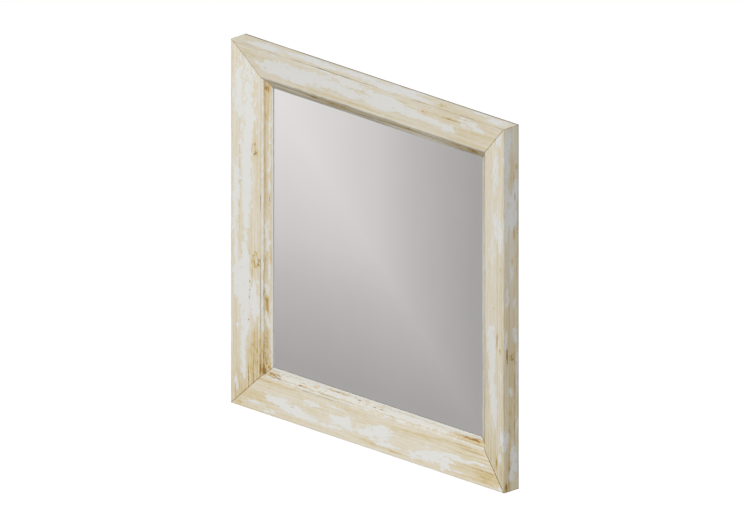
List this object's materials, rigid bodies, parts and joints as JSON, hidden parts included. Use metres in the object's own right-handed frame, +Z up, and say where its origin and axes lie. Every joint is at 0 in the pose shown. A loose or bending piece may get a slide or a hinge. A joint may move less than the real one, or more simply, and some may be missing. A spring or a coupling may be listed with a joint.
{
  "type": "square mirror",
  "caption": "Square wall mirror in a wide mitred frame of whitewashed pine, its face sloping in to a bevelled nose and a hollow inner slip round the glass.",
  "frame": {"origin": "middle of the mirror in the plane of the wall behind it, where the bumpers touch", "axes": "+Z up, the glass faces -Y, +Y into the wall, +X to the right as seen from the front"},
  "size_m": [0.6, 0.0391, 0.6],
  "materials": {
    "whitewashed_pine": "worn whitewash over pine, matt",
    "stained_slip": "whitewash worn through to ochre stain, matt",
    "silvered_glass": "polished, silvered on the back",
    "packing_card": "plain",
    "hardboard": "smooth hardboard",
    "spacer_rubber": "matt",
    "nail_steel": "plain steel",
    "brass_button": "stamped, satin",
    "screw_steel": "zinc plated",
    "zinc_steel": "zinc plated",
    "bumper_rubber": "matt"
  },
  "bodies": {
    "frame": {"top_rail": "whitewashed_pine", "right_stile": "whitewashed_pine", "bottom_rail": "whitewashed_pine", "left_stile": "whitewashed_pine", "top_slip": "stained_slip", "right_slip": "stained_slip", "bottom_slip": "stained_slip", "left_slip": "stained_slip", "hanger_strap_left": "zinc_steel", "hanger_strap_right": "zinc_steel", "hanger_screws": "screw_steel", "turn_button_screws": "screw_steel", "wall_bumper_top_left": "bumper_rubber", "wall_bumper_top_right": "bumper_rubber", "wall_bumper_bottom_left": "bumper_rubber", "wall_bumper_bottom_right": "bumper_rubber", "corner_nails": "nail_steel", "mirror_glass": "silvered_glass", "packing_sheet": "packing_card", "edge_spacers": "spacer_rubber", "back_board": "hardboard"},
    "turn_button_top_right": {"turn_button_top_right": "brass_button"},
    "turn_button_top_left": {"turn_button_top_left": "brass_button"},
    "turn_button_right_lower": {"turn_button_right_lower": "brass_button"},
    "turn_button_right_upper": {"turn_button_right_upper": "brass_button"},
    "turn_button_bottom_left": {"turn_button_bottom_left": "brass_button"},
    "turn_button_bottom_right": {"turn_button_bottom_right": "brass_button"},
    "turn_button_left_upper": {"turn_button_left_upper": "brass_button"},
    "turn_button_left_lower": {"turn_button_left_lower": "brass_button"},
    "d_ring_left": {"d_ring_left": "zinc_steel"},
    "d_ring_right": {"d_ring_right": "zinc_steel"}
  },
  "joints": [
    {"name": "turn_button_top_right_pivot", "type": "hinge", "parent": "frame", "child": "turn_button_top_right", "pos_m": [0.11, -0.00515, 0.266], "axis": [0, 1, 0], "continuous": true},
    {"name": "turn_button_top_left_pivot", "type": "hinge", "parent": "frame", "child": "turn_button_top_left", "pos_m": [-0.11, -0.00515, 0.266], "axis": [0, 1, 0], "continuous": true},
    {"name": "turn_button_right_lower_pivot", "type": "hinge", "parent": "frame", "child": "turn_button_right_lower", "pos_m": [0.266, -0.00515, -0.11], "axis": [0, 1, 0], "continuous": true},
    {"name": "turn_button_right_upper_pivot", "type": "hinge", "parent": "frame", "child": "turn_button_right_upper", "pos_m": [0.266, -0.00515, 0.11], "axis": [0, 1, 0], "continuous": true},
    {"name": "turn_button_bottom_left_pivot", "type": "hinge", "parent": "frame", "child": "turn_button_bottom_left", "pos_m": [-0.11, -0.00515, -0.266], "axis": [0, 1, 0], "continuous": true},
    {"name": "turn_button_bottom_right_pivot", "type": "hinge", "parent": "frame", "child": "turn_button_bottom_right", "pos_m": [0.11, -0.00515, -0.266], "axis": [0, 1, 0], "continuous": true},
    {"name": "turn_button_left_upper_pivot", "type": "hinge", "parent": "frame", "child": "turn_button_left_upper", "pos_m": [-0.266, -0.00515, 0.11], "axis": [0, 1, 0], "continuous": true},
    {"name": "turn_button_left_lower_pivot", "type": "hinge", "parent": "frame", "child": "turn_button_left_lower", "pos_m": [-0.266, -0.00515, -0.11], "axis": [0, 1, 0], "continuous": true},
    {"name": "d_ring_left_swing", "type": "hinge", "parent": "frame", "child": "d_ring_left", "pos_m": [-0.278, -0.00339, 0.18], "axis": [1, 0, 0], "range_deg": [0, 180]},
    {"name": "d_ring_right_swing", "type": "hinge", "parent": "frame", "child": "d_ring_right", "pos_m": [0.278, -0.00339, 0.18], "axis": [1, 0, 0], "range_deg": [0, 180]}
  ]
}
